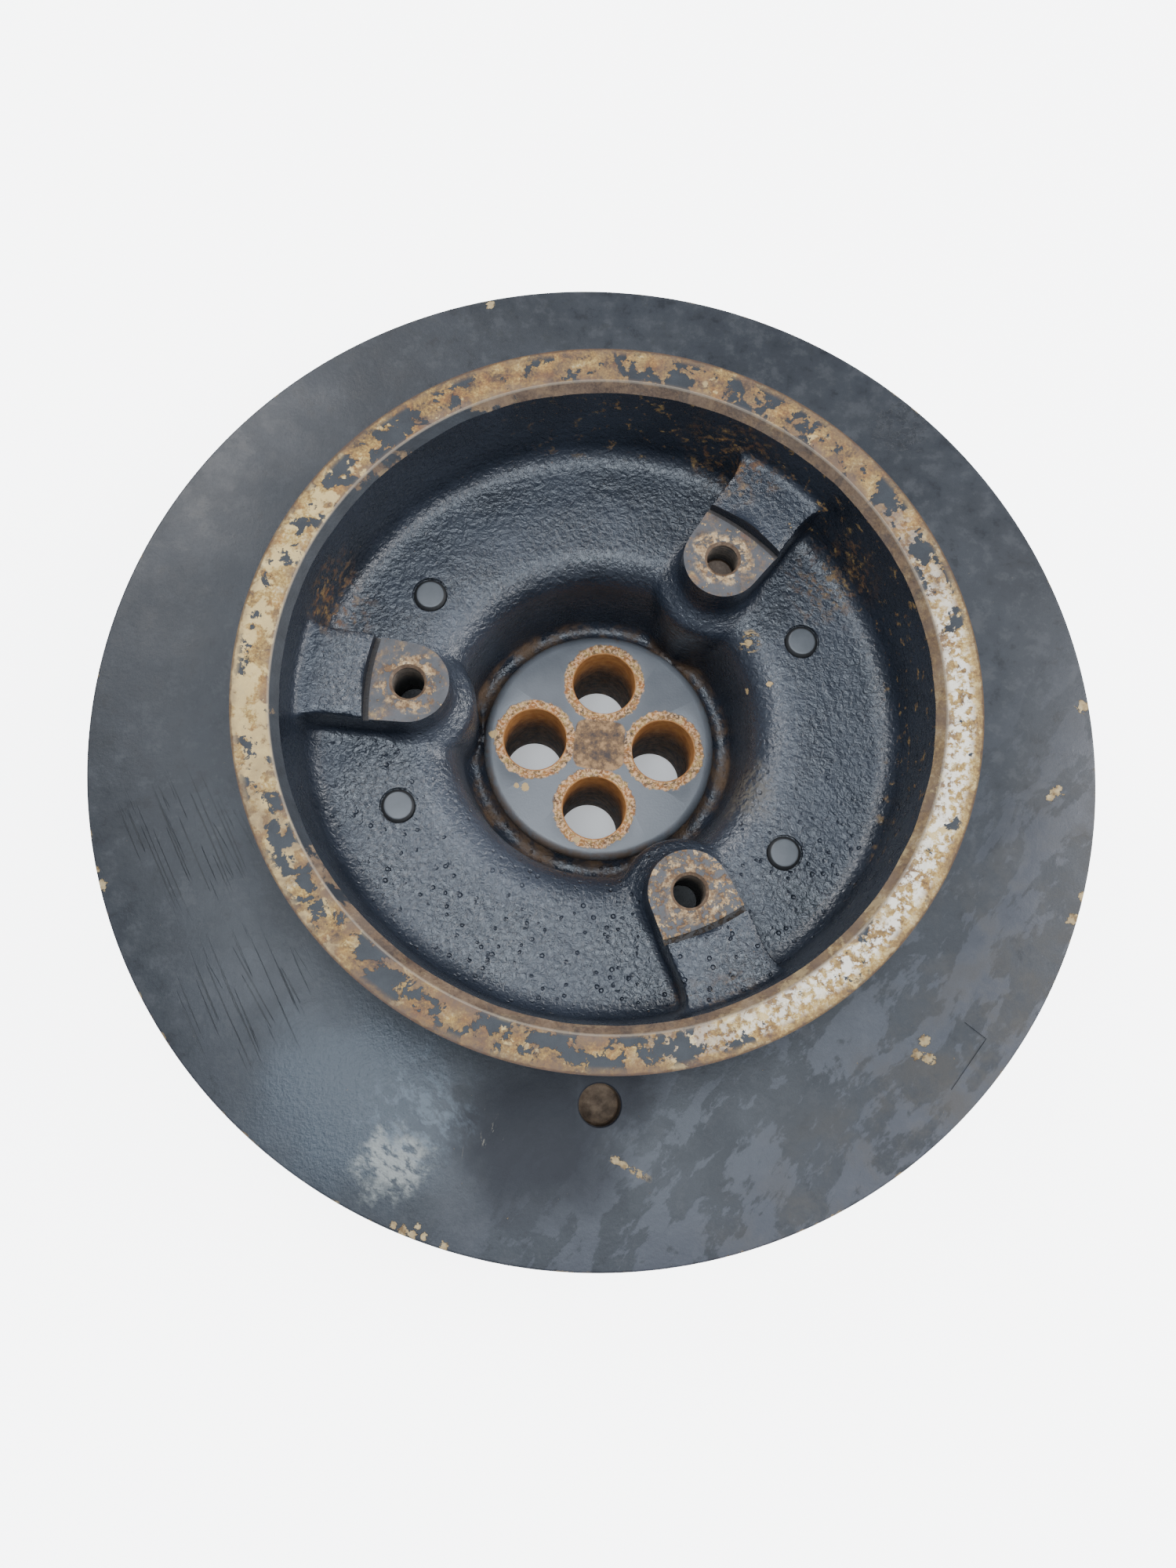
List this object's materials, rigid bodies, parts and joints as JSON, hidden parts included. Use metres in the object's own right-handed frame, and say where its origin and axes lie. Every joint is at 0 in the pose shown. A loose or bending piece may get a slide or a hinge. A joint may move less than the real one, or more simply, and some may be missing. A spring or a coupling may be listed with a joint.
{
  "type": "crankshaft pulley with torsional vibration damper",
  "caption": "Dished cast-iron crankshaft pulley with a raised belt rim, bossed arms and a rubber-bonded inertia ring that twists to damp vibration.",
  "frame": {"origin": "centre of the hub's rear face, which bolts to the crankshaft nose", "axes": "+Z forward along the crankshaft axis, out of the open dish; the blind timing hole lies towards -Y"},
  "size_m": [0.35, 0.35, 0.118],
  "materials": {
    "hub_casting": "glossy black paint over a coarse casting, machined faces rusted tan",
    "carrier_steel": "painted black, dull",
    "pin_steel": "painted over, smooth end faces",
    "damper_rubber": "matt moulded rubber",
    "ring_iron": "satin grey-black paint, scuffed and chipped at the rim"
  },
  "bodies": {
    "hub": {"pulley_hub": "hub_casting", "damper_carrier": "carrier_steel", "carrier_pin_1": "pin_steel", "carrier_pin_2": "pin_steel", "carrier_pin_3": "pin_steel", "carrier_pin_4": "pin_steel", "rubber_ring": "damper_rubber"},
    "ring": {"inertia_ring": "ring_iron"}
  },
  "joints": [
    {"name": "ring_twist", "type": "hinge", "parent": "hub", "child": "ring", "pos_m": [0, 0, 0.042], "axis": [0, 0, 1], "range_deg": [-1.5, 1.5], "stiffness_Nm_per_rad": 20000, "deforming": ["rubber_ring"]}
  ]
}
